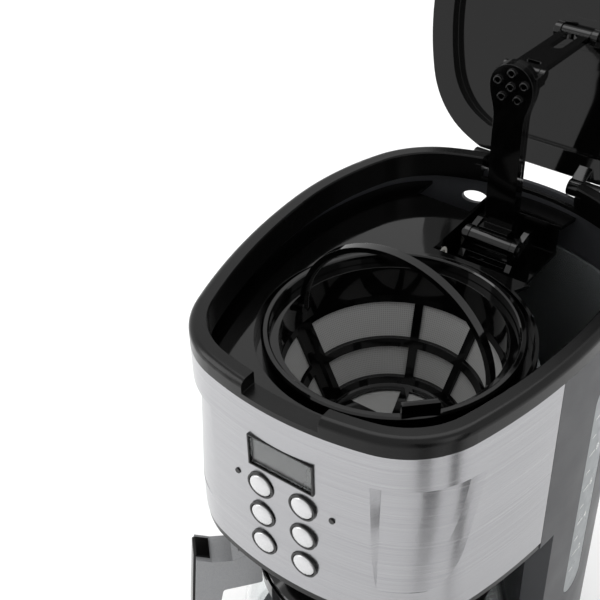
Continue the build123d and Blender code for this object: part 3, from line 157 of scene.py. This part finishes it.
# %% Plastic
def moulded(name, code, roughness, grain_mm, depth_mm, spread=0.05, shine=0.5):
    material, tree, place = start(name)
    grain = put(tree, "ShaderNodeTexNoise", {"Vector": place}, Scale=1000 / grain_mm, Detail=2.0,
                Roughness=0.6)
    cloud = put(tree, "ShaderNodeTexNoise", {"Vector": place}, Scale=28.0, Detail=3.0)
    rough = put(tree, "ShaderNodeMapRange", {"Value": cloud.outputs[0]}, From_Min=0.3, From_Max=0.7,
                To_Min=roughness - spread, To_Max=roughness + spread)
    base = Vector(linear(code))
    tint = put(tree, "ShaderNodeValToRGB", {"Fac": grain.outputs[0]})
    tint.color_ramp.elements[0].position = 0.35
    tint.color_ramp.elements[0].color = [c * 0.86 for c in base[:3]] + [1.0]
    tint.color_ramp.elements[1].position = 0.65
    tint.color_ramp.elements[1].color = [min(1.0, c * 1.12) for c in base[:3]] + [1.0]
    soft = put(tree, "ShaderNodeBevel", samples=4, Radius=EDGE)
    bump = put(tree, "ShaderNodeBump", {"Height": grain.outputs[0], "Normal": soft.outputs[0]},
               Strength=0.5, Distance=depth_mm * MM)
    shader = put(tree, "ShaderNodeBsdfPrincipled",
                 {"Base Color": tint.outputs[0], "Roughness": rough.outputs[0], "Normal": bump.outputs[0]},
                 IOR=1.53, Specular_IOR_Level=shine)
    finish(tree, shader)
    return material


# %% [markdown]
# ## Clear plastics and glass
# The tank is clear SAN with a smoky tint, and its window is the same plastic in a darker,
# frosted strip. The carafe is borosilicate glass, which is clear and all but colourless.

# %% Clear materials
def clear(name, code, roughness, ior, transmission, ripple_mm=6.0):
    material, tree, place = start(name)
    ripple = put(tree, "ShaderNodeTexNoise", {"Vector": place}, Scale=1000 / ripple_mm, Detail=1.0)
    rough = put(tree, "ShaderNodeMapRange", {"Value": ripple.outputs[0]}, From_Min=0.2, From_Max=0.8,
                To_Min=roughness * 0.7, To_Max=roughness * 1.3)
    bump = put(tree, "ShaderNodeBump", {"Height": ripple.outputs[0]}, Strength=0.1, Distance=0.03 * MM)
    shader = put(tree, "ShaderNodeBsdfPrincipled",
                 {"Roughness": rough.outputs[0], "Normal": bump.outputs[0]},
                 Base_Color=linear(code), IOR=ior, Transmission_Weight=transmission)
    finish(tree, shader)
    return material


# %% [markdown]
# ## Metals of the small parts
# Pins and screws are zinc-plated steel and the heater is cast aluminium: both are plain
# metals with a little mottling, so one recipe serves them.

# %% Small metals
def metal(name, code, roughness, mottle_mm, depth_mm):
    material, tree, place = start(name)
    mottle = put(tree, "ShaderNodeTexNoise", {"Vector": place}, Scale=1000 / mottle_mm, Detail=4.0)
    rough = put(tree, "ShaderNodeMapRange", {"Value": mottle.outputs[0]}, From_Min=0.3, From_Max=0.7,
                To_Min=roughness * 0.75, To_Max=roughness * 1.25)
    soft = put(tree, "ShaderNodeBevel", samples=4, Radius=0.2 * MM)
    bump = put(tree, "ShaderNodeBump", {"Height": mottle.outputs[0], "Normal": soft.outputs[0]},
               Strength=0.3, Distance=depth_mm * MM)
    shader = put(tree, "ShaderNodeBsdfPrincipled",
                 {"Roughness": rough.outputs[0], "Normal": bump.outputs[0]},
                 Base_Color=linear(code), Metallic=1.0)
    finish(tree, shader)
    return material


# %% [markdown]
# ## Flecked coatings
# The warming plate wears a black non-stick coating with pale flecks, and the buttons a silver
# lacquer with metal flakes. Both are a base colour with small bright cells of a Voronoi
# pattern mixed in.

# %% Flecked coatings
def flecked(name, code, fleck_code, fleck_mm, share, roughness, metallic=0.0, coat=0.0):
    material, tree, place = start(name)
    cells = put(tree, "ShaderNodeTexVoronoi", {"Vector": place}, Scale=1000 / fleck_mm)
    pick = put(tree, "ShaderNodeSeparateColor", {"Color": cells.outputs["Color"]})
    chosen = put(tree, "ShaderNodeMapRange", {"Value": pick.outputs[0]}, From_Min=1 - share - 0.05,
                 From_Max=1 - share + 0.05, To_Min=0.0, To_Max=1.0)
    colour = put(tree, "ShaderNodeMix", {"Factor": chosen.outputs[0]}, data_type="RGBA")
    colour.inputs[6].default_value = linear(code)
    colour.inputs[7].default_value = linear(fleck_code)
    soft = put(tree, "ShaderNodeBevel", samples=4, Radius=EDGE)
    bump = put(tree, "ShaderNodeBump", {"Height": pick.outputs[0], "Normal": soft.outputs[0]},
               Strength=0.06, Distance=0.05 * MM)
    shader = put(tree, "ShaderNodeBsdfPrincipled",
                 {"Base Color": colour.outputs[2], "Normal": bump.outputs[0]},
                 Roughness=roughness, Metallic=metallic, Coat_Weight=coat, Coat_Roughness=0.08)
    finish(tree, shader)
    return material


# %% [markdown]
# ## Woven filter mesh
# The filter's gauze is nylon monofilament in a plain weave. Real threads stand a sixth of a
# millimetre apart, too fine to show, so they are drawn 1.1 mm apart. Two wave patterns, one
# level and one running around the cone, are the threads, and what lies between them is open.

# %% Filter mesh
THREAD_PITCH = 1.1 * MM
GAUZE_RADIUS = 52 * MM


def gauze():
    material, tree, place = start("nylon monofilament gauze")
    centred = put(tree, "ShaderNodeMapping", {"Vector": place}, Location=(0, -FILTER_AXIS_Y, 0))
    parts = put(tree, "ShaderNodeSeparateXYZ", {"Vector": centred.outputs[0]})
    turn = put(tree, "ShaderNodeMath", {0: parts.outputs["Y"], 1: parts.outputs["X"]}, operation="ARCTAN2")
    around = put(tree, "ShaderNodeMath", {0: turn.outputs[0]}, operation="MULTIPLY")
    around.inputs[1].default_value = GAUZE_RADIUS * 2 * pi / THREAD_PITCH
    across = put(tree, "ShaderNodeMath", {0: around.outputs[0]}, operation="SINE")
    rise = put(tree, "ShaderNodeMath", {0: parts.outputs["Z"]}, operation="MULTIPLY")
    rise.inputs[1].default_value = 2 * pi / THREAD_PITCH
    level = put(tree, "ShaderNodeMath", {0: rise.outputs[0]}, operation="SINE")
    thread = put(tree, "ShaderNodeMath", {0: across.outputs[0], 1: level.outputs[0]}, operation="MAXIMUM")
    cover = put(tree, "ShaderNodeMapRange", {"Value": thread.outputs[0]}, From_Min=0.1, From_Max=0.35,
                To_Min=0.72, To_Max=1.0)
    bump = put(tree, "ShaderNodeBump", {"Height": thread.outputs[0]}, Strength=0.6, Distance=0.1 * MM)
    shader = put(tree, "ShaderNodeBsdfPrincipled", {"Alpha": cover.outputs[0], "Normal": bump.outputs[0]},
                 Base_Color=linear("#868685"), Roughness=0.45, IOR=1.53)
    finish(tree, shader)
    return material


# %% [markdown]
# ## A material for every slot
# The record gives each CAD node a slot, so the slots are mapped to materials once, and every
# node takes its material from that list.

# %% Assign materials
MATERIALS = {
    "steel": brushed_steel(),
    "casing_plastic": moulded("ABS, spark-eroded grain, graphite", "#333437", 0.45, 0.55, 0.04, shine=0.4),
    "black_gloss": moulded("ABS, polished tool, piano black", "#030303", 0.06, 9.0, 0.02,
                           spread=0.03, shine=0.36),
    "black_satin": moulded("polypropylene, satin tool, black", "#050505", 0.24, 0.4, 0.015, shine=0.2),
    "silver_paint": flecked("silver lacquer on ABS", "#c4c4c5", "#dededf", 0.12, 0.3, 0.24, 0.6, 0.4),
    "grey_plastic": moulded("ABS, satin tool, mid grey", "#8c8d8f", 0.38, 0.5, 0.02),
    "tank_clear": clear("SAN, clear moulding, smoky", "#c9ced0", 0.12, 1.57, 0.85),
    "window_clear": clear("SAN, frosted window strip", "#9aa0a3", 0.35, 1.57, 0.45),
    "display_clear": clear("acrylic display lens", "#f2f4f4", 0.02, 1.49, 1.0),
    "display_grey": moulded("liquid-crystal cell, grey", "#2c2e2f", 0.25, 1.2, 0.005),
    "glass": clear("borosilicate glass", "#f9fbfb", 0.01, 1.47, 1.0, 18.0),
    "plate_enamel": flecked("non-stick coating, black with flecks", "#0b0b0c", "#3a3b3d", 0.8, 0.1, 0.42),
    "cast_aluminium": metal("die-cast aluminium", "#b9babb", 0.45, 1.5, 0.08),
    "steel_small": metal("steel, bright zinc plate", "#c9cacc", 0.22, 2.0, 0.01),
    "silicone": moulded("silicone hose, milky", "#d2d0ca", 0.5, 2.0, 0.02),
    "rubber": moulded("EPDM rubber", "#141414", 0.7, 0.6, 0.05),
    "mesh": gauze(),
    "board": moulded("circuit board, green solder resist", "#1c5a34", 0.3, 1.0, 0.02),
}
for part in frame["record"]["subparts"]:
    node = NODES[part["node"]]
    node.data.materials.clear()
    node.data.materials.append(MATERIALS[part["material_slot"]])
print("materials", len(MATERIALS), "nodes", len(NODES))

# %% [markdown]
# ## Tools for modelling
# Each new piece starts with nothing selected, because the loaded frame leaves everything
# selected. A turned piece is made as a potter would: a circle is extruded up its profile,
# one ring at a time, each ring scaled about the axis.

# %% Modelling helpers
SMOOTH_ANGLE = radians(35)


def deselect():
    if bpy.context.object and bpy.context.object.mode != "OBJECT":
        bpy.ops.object.mode_set(mode="OBJECT")
    bpy.ops.object.select_all(action="DESELECT")


def turned(name, centre, profile, along="Z", sides=96, closed_end=False):
    """A ring extruded along a profile of (radius, distance along the axis), in millimetres."""
    deselect()
    axis = Vector((0, 0, 1)) if along == "Z" else Vector((0, 1, 0))
    turn = (0, 0, 0) if along == "Z" else (pi / 2, 0, 0)
    centre = Vector(centre) * MM
    radius, height = profile[0]
    bpy.ops.mesh.primitive_circle_add(vertices=sides, radius=radius * MM, rotation=turn,
                                      location=centre + axis * height * MM)
    piece = bpy.context.object
    piece.name = name
    bpy.ops.object.mode_set(mode="EDIT")
    bpy.ops.mesh.select_all(action="SELECT")
    for next_radius, next_height in profile[1:]:
        bpy.ops.mesh.extrude_edges_move(
            TRANSFORM_OT_translate={"value": axis * (next_height - height) * MM})
        ratio = next_radius / radius
        scale = (ratio, ratio, 1) if along == "Z" else (ratio, 1, ratio)
        bpy.ops.transform.resize(value=scale, center_override=centre + axis * next_height * MM)
        radius, height = next_radius, next_height
    if closed_end:
        bpy.ops.mesh.edge_face_add()
        bpy.ops.mesh.inset(thickness=radius * MM * 0.05)
    return settle(piece)


def settle(piece):
    """Back to object mode, with the place in the mesh, faces outwards and smooth shading."""
    bpy.context.view_layer.objects.active = piece
    bpy.ops.object.mode_set(mode="EDIT")
    bpy.ops.mesh.select_all(action="SELECT")
    bpy.ops.mesh.normals_make_consistent(inside=False)
    bpy.ops.object.mode_set(mode="OBJECT")
    deselect()
    piece.select_set(True)
    bpy.context.view_layer.objects.active = piece
    bpy.ops.object.transform_apply(location=True, rotation=True, scale=True)
    bpy.ops.object.shade_smooth_by_angle(angle=SMOOTH_ANGLE)
    return piece


def modify(piece, kind, **settings):
    """Add a modifier, set it and apply it."""
    bpy.context.view_layer.objects.active = piece
    modifier = piece.modifiers.new(kind, kind)
    for key, value in settings.items():
        setattr(modifier, key, value)
    bpy.ops.object.modifier_apply(modifier=modifier.name)
    return piece


def dress(piece, slot_name, body, *nodes):
    """Give a piece its material and body, and hide the CAD nodes it stands in for."""
    piece.data.materials.clear()
    piece.data.materials.append(MATERIALS[slot_name])
    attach(piece, body)
    if nodes:
        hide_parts(*nodes)
    return piece


def copy_of(piece, name, shift):
    """A copy with its own mesh, moved by shift in metres inside that mesh."""
    twin = piece.copy()
    twin.data = piece.data.copy()
    twin.name = name
    bpy.context.collection.objects.link(twin)
    twin.data.transform(Matrix.Translation(shift))
    return twin


# %% [markdown]
# ## Push buttons
# Six round caps, silver-lacquered, each with a gently domed face that catches one soft
# highlight. The first is turned along the front-to-back axis from its rear edge, over a small
# rounded shoulder, to the dome. The other five are copies, set by the CAD nodes' own boxes.

# %% Buttons
BUTTONS = [f"button_{side}_{row}" for side in ("left", "right") for row in ("top", "middle", "bottom")]


def middle_of(node):
    low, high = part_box(node)
    return Vector([(a + b) / 2 for a, b in zip(low, high)])


first = middle_of(BUTTONS[0])
face_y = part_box(BUTTONS[0])[0][1] / MM
cap_profile = [(6.5, face_y + 8), (6.55, face_y + 1.9), (6.4, face_y + 1.35), (6.0, face_y + 1.0),
               (4.6, face_y + 0.5), (2.8, face_y + 0.17), (1.2, face_y + 0.03), (0.4, face_y + 0.005)]
cap = turned("cap_left_top", (first.x / MM, 0, first.z / MM), cap_profile, "Y", 64, True)
for name in BUTTONS:
    shift = middle_of(name) - first
    piece = cap if name == BUTTONS[0] else copy_of(cap, name.replace("button", "cap"),
                                                   (shift.x, 0, shift.z))
    dress(piece, "silver_paint", name, name)
print("button caps", len(BUTTONS))

# %% [markdown]
# ## Water gauge
# The window is printed with a white scale: a tick for every cup, a longer one every second
# cup, and a number beside it. A tick is a thin plane given a wall, and the numbers are text
# turned to mesh. They lie on the window's outer face.

# %% Gauge scale
CUPS = 10
SCALE_MARGIN = 0.015
TICK_INSET = 0.003
LONG_TICK, SHORT_TICK, TICK_WIDTH = 0.007, 0.0045, 0.0007
NUMBER_SIZE, NUMBER_DROP, NUMBER_SHIFT = 0.0065, 0.0018, 0.0005

low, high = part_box("tank_window")
print_x = high[0] + 0.00005
middle_y = (low[1] + high[1]) / 2
ink = matt("screen-printed white ink", "#f4f4f2", 0.5, 1500.0, 0.1, 0.02)
cup_height = (high[2] - low[2] - 2 * SCALE_MARGIN) / CUPS
marks = []
for cup in range(1, CUPS + 1):
    z = low[2] + SCALE_MARGIN + (cup - 0.5) * cup_height
    length = LONG_TICK if cup % 2 == 0 else SHORT_TICK
    deselect()
    bpy.ops.mesh.primitive_plane_add(size=1, rotation=(0, pi / 2, 0),
                                     location=(print_x, low[1] + TICK_INSET + length / 2, z))
    tick = bpy.context.object
    tick.scale = (TICK_WIDTH, length, 1)
    tick.name = f"gauge_tick_{cup}"
    settle(tick)
    marks.append(modify(tick, "SOLIDIFY", thickness=0.00008, offset=0))
    if cup % 2 == 0:
        deselect()
        bpy.ops.object.text_add(location=(print_x, middle_y + NUMBER_SHIFT, z - NUMBER_DROP),
                                rotation=(pi / 2, 0, pi / 2))
        number = bpy.context.object
        number.data.body = str(cup)
        number.data.size = NUMBER_SIZE
        number.data.extrude = 0.00004
        bpy.ops.object.convert(target="MESH")
        number.name = f"gauge_number_{cup}"
        marks.append(settle(number))
for mark in marks:
    mark.data.materials.clear()
    mark.data.materials.append(ink)
    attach(mark, "machine")
print("gauge marks", len(marks))

# %% [markdown]
# ## Carafe glass
# The jug is blown borosilicate: a flat base, a wide belly and a narrow neck under the collar.
# It is turned as one thin line up the profile and then given its wall by Solidify, which
# keeps both faces parallel, as blowing does.

# %% Carafe glass
low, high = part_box("carafe_glass")
axis_y = (low[1] + high[1]) / 2 / MM
foot_z = low[2] / MM
belly = (high[0] - low[0]) / 2 / MM
WALL_MM = 2.2
glass_profile = [(20, foot_z), (45, foot_z), (56, foot_z + 0.4), (66, foot_z + 6), (73, foot_z + 14),
                 (79, foot_z + 27), (82.2, foot_z + 42), (belly, foot_z + 55), (82.4, foot_z + 68),
                 (79.5, foot_z + 81), (74, foot_z + 94), (68.5, foot_z + 102), (66, foot_z + 107),
                 (66, high[2] / MM - 0.3)]
jug = turned("carafe_jug", (0, axis_y, 0), glass_profile)
bpy.ops.object.mode_set(mode="EDIT")
mesh = bmesh.from_edit_mesh(jug.data)
bpy.ops.mesh.select_mode(type="EDGE")
for edge in mesh.edges:
    edge.select_set(len(edge.link_faces) == 1 and edge.verts[0].co.z < low[2] + 0.001)
bmesh.update_edit_mesh(jug.data)
bpy.ops.mesh.edge_face_add()
bpy.ops.mesh.inset(thickness=0.008)
settle(jug)
modify(jug, "SOLIDIFY", thickness=WALL_MM * MM, offset=-1)
jug.data.polygons.foreach_set("use_smooth", [True] * len(jug.data.polygons))
dress(jug, "glass", "carafe", "carafe_glass")
print("carafe jug", len(jug.data.polygons), "faces")

# %% [markdown]
# ## Filter bail
# The wire-like handle of the filter is a moulded bow, round in section where fingers hold it.
# A torus gives the round section, and its lower half is bisected away. The flat bow with its
# pivots stays the CAD node's job: the round bow is only laid over it and shares its body.

# %% Filter bail
BOW_CENTRE = (0, FILTER_AXIS_Y, 0.3112)
BOW_THICKNESS = 0.0021

low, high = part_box("filter_bail")
bow_radius = high[2] - BOW_CENTRE[2]
deselect()
bpy.ops.mesh.primitive_torus_add(major_segments=96, minor_segments=16, location=BOW_CENTRE,
                                 rotation=(pi / 2, 0, 0), major_radius=bow_radius - BOW_THICKNESS,
                                 minor_radius=BOW_THICKNESS)
bow = bpy.context.object
bow.name = "bail_bow"
bpy.ops.object.mode_set(mode="EDIT")
bpy.ops.mesh.select_all(action="SELECT")
bpy.ops.mesh.bisect(plane_co=BOW_CENTRE, plane_no=(0, 0, 1), clear_inner=True, use_fill=True)
settle(bow)
dress(bow, "black_gloss", "bail")
print("bail bow", len(bow.data.polygons), "faces")

# %% [markdown]
# ## Spray jets
# Each jet is a short raised collar around a bored hole, and its lip is rounded by the mould.
# One is turned as a lip profile, and the rest are copies, one at the centre and five around.

# %% Spray jets
JET_CENTRE_Z = 0.416
JET_RING_RADIUS = 0.0082
JETS_AROUND = 5

lip = [(1.4, 80.6), (1.4, 79.9), (1.55, 79.65), (2.0, 79.55), (2.45, 79.65), (2.6, 79.9), (2.6, 81.1)]
jet = turned("jet_lip_0", (0, 0, JET_CENTRE_Z / MM), lip, "Y", 40)
jets = [jet]
for number in range(JETS_AROUND):
    angle = pi / 2 + number * 2 * pi / JETS_AROUND
    jets.append(copy_of(jet, f"jet_lip_{number + 1}",
                        (JET_RING_RADIUS * cos(angle), 0, JET_RING_RADIUS * sin(angle))))
for piece in jets:
    dress(piece, "black_gloss", "arm")
print("jet lips", len(jets))

# %% [markdown]
# ## Camera
# A person standing to the right of the machine's front looks down on it. The lens is a short
# telephoto, and the camera leans by two degrees.

# %% Camera
CAMERA_SPOT = (0.2512, -0.4322, 0.7073)
AZIMUTH, HEIGHT_ANGLE, LEAN = radians(37.94), radians(37.65), radians(-1.85)

deselect()
camera_data = bpy.data.cameras.new("camera")
camera_data.lens = 69.1
camera_data.sensor_width = 36
camera = bpy.data.objects.new("camera", camera_data)
bpy.context.scene.collection.objects.link(camera)
camera.matrix_world = (Matrix.Translation(CAMERA_SPOT) @ Matrix.Rotation(AZIMUTH, 4, "Z")
                       @ Matrix.Rotation(pi / 2 - HEIGHT_ANGLE, 4, "X") @ Matrix.Rotation(LEAN, 4, "Z"))
bpy.context.scene.camera = camera

# %% [markdown]
# ## Studio
# A white sweep under large soft lights, as for a catalogue: the glossy black pieces need
# something white to mirror, so the world itself is bright.

# %% Floor and lights
bpy.ops.mesh.primitive_plane_add(size=8, location=(0, 0, -0.0004))
floor = bpy.context.object
floor.name = "studio floor"
floor.data.materials.append(matt("white paper sweep", "#f6f6f6", 0.8, 400.0, 0.05, 0.1))

world = bpy.data.worlds.new("white studio")
bpy.context.scene.world = world
world.use_nodes = True
background = world.node_tree.nodes["Background"]
background.inputs["Color"].default_value = linear("#ffffff")
background.inputs["Strength"].default_value = 1.0

for name, spot, aim, width, height, watts in (
        ("overhead softbox", (-0.2, 0.3, 1.7), (0, 0, 0.3), 1.4, 1.0, 9),
        ("left softbox", (-1.3, -0.9, 0.9), (0, 0, 0.25), 0.7, 1.3, 9),
        ("right softbox", (1.5, -0.4, 0.8), (0, 0, 0.25), 0.5, 1.2, 3)):
    bpy.ops.object.light_add(type="AREA", location=spot)
    light = bpy.context.object
    light.name = name
    light.data.shape = "RECTANGLE"
    light.data.size = width
    light.data.size_y = height
    light.data.energy = watts
    light.rotation_euler = (Vector(aim) - Vector(spot)).to_track_quat("-Z", "Y").to_euler()

# Black flags stand to the right, outside the picture: steel only looks like steel when it has
# something dark to reflect beside the white.
flags = []
for name, spot, width, height in (("narrow flag", (0.34, -0.10, 0.15), 0.05, 0.6),
                                  ("middle flag", (0.34, -0.30, 0.10), 0.09, 0.6),
                                  ("wide flag", (0.62, -0.62, 0.25), 0.20, 0.9)):
    bpy.ops.mesh.primitive_plane_add(size=1, location=spot)
    flag = bpy.context.object
    flag.name = name
    flag.scale = (width, height, 1)
    flag.rotation_euler = (Vector((0, 0, spot[2])) - Vector(spot)).to_track_quat("Z", "Y").to_euler()
    flag.visible_camera = False
    flags.append(flag)
flag_cloth = matt("black duvetyne cloth", "#101010", 0.95, 900.0, 0.3, 0.3)
for flag in flags:
    flag.data.materials.append(flag_cloth)
bpy.context.scene.view_settings.view_transform = "Standard"
